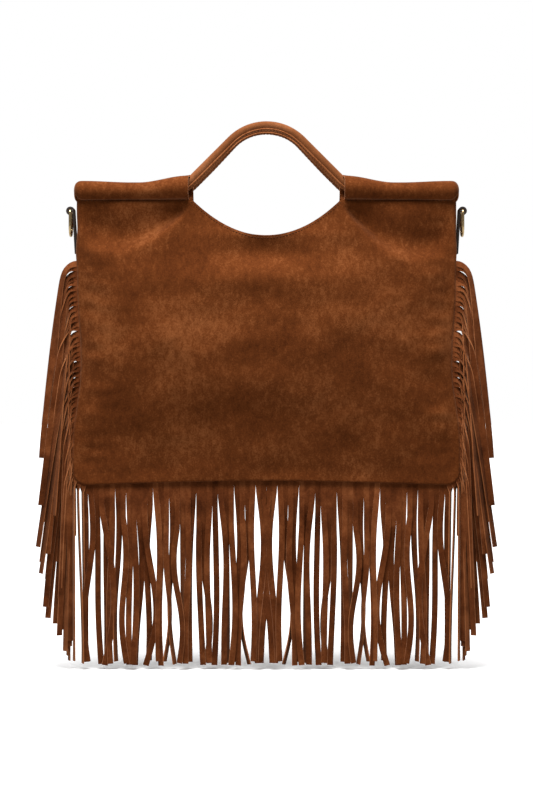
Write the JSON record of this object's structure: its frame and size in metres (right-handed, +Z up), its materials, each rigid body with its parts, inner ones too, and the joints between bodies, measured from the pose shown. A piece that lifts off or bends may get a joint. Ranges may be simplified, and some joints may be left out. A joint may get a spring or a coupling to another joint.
{
  "type": "fringed suede handbag",
  "caption": "Flat suede handbag with two arched handles in folded sleeves, a scooped mouth, D-rings at the sides and long strand fringe on three edges.",
  "frame": {"origin": "the carry point: midway between the two handles, level with the underside of their arches", "axes": "+Z up, +X along the bag's width, -Y out of the front panel"},
  "size_m": [0.4596, 0.0628, 0.5452],
  "materials": {
    "suede": "napped suede",
    "fringe_suede": "napped suede strips",
    "lining_cloth": "plain woven cotton",
    "dark_leather": "smooth, edge painted",
    "gold_metal": "polished plating",
    "rod": "plain"
  },
  "bodies": {
    "bag": {"front_panel": "suede", "back_panel": "suede", "gusset": "suede", "lining": "lining_cloth", "bottom_fringe": "fringe_suede", "right_fringe": "fringe_suede", "left_fringe": "fringe_suede", "right_tab": "dark_leather", "left_tab": "dark_leather"},
    "front_handle": {"front_handle_cover": "suede", "front_handle_core": "rod"},
    "back_handle": {"back_handle_cover": "suede", "back_handle_core": "rod"},
    "right_ring": {"right_ring": "gold_metal"},
    "left_ring": {"left_ring": "gold_metal"}
  },
  "joints": [
    {"name": "front_handle_swing", "type": "hinge", "parent": "bag", "child": "front_handle", "pos_m": [0, -0.015, -0.055], "axis": [1, 0, 0], "range_deg": [-8, 100]},
    {"name": "back_handle_swing", "type": "hinge", "parent": "bag", "child": "back_handle", "pos_m": [0, 0.015, -0.055], "axis": [-1, 0, 0], "range_deg": [-8, 100]},
    {"name": "right_ring_swing", "type": "hinge", "parent": "bag", "child": "right_ring", "pos_m": [0.197, 0, -0.076], "axis": [0, -1, 0], "range_deg": [-3, 170]},
    {"name": "left_ring_swing", "type": "hinge", "parent": "bag", "child": "left_ring", "pos_m": [-0.197, 0, -0.076], "axis": [0, 1, 0], "range_deg": [-3, 170]}
  ]
}
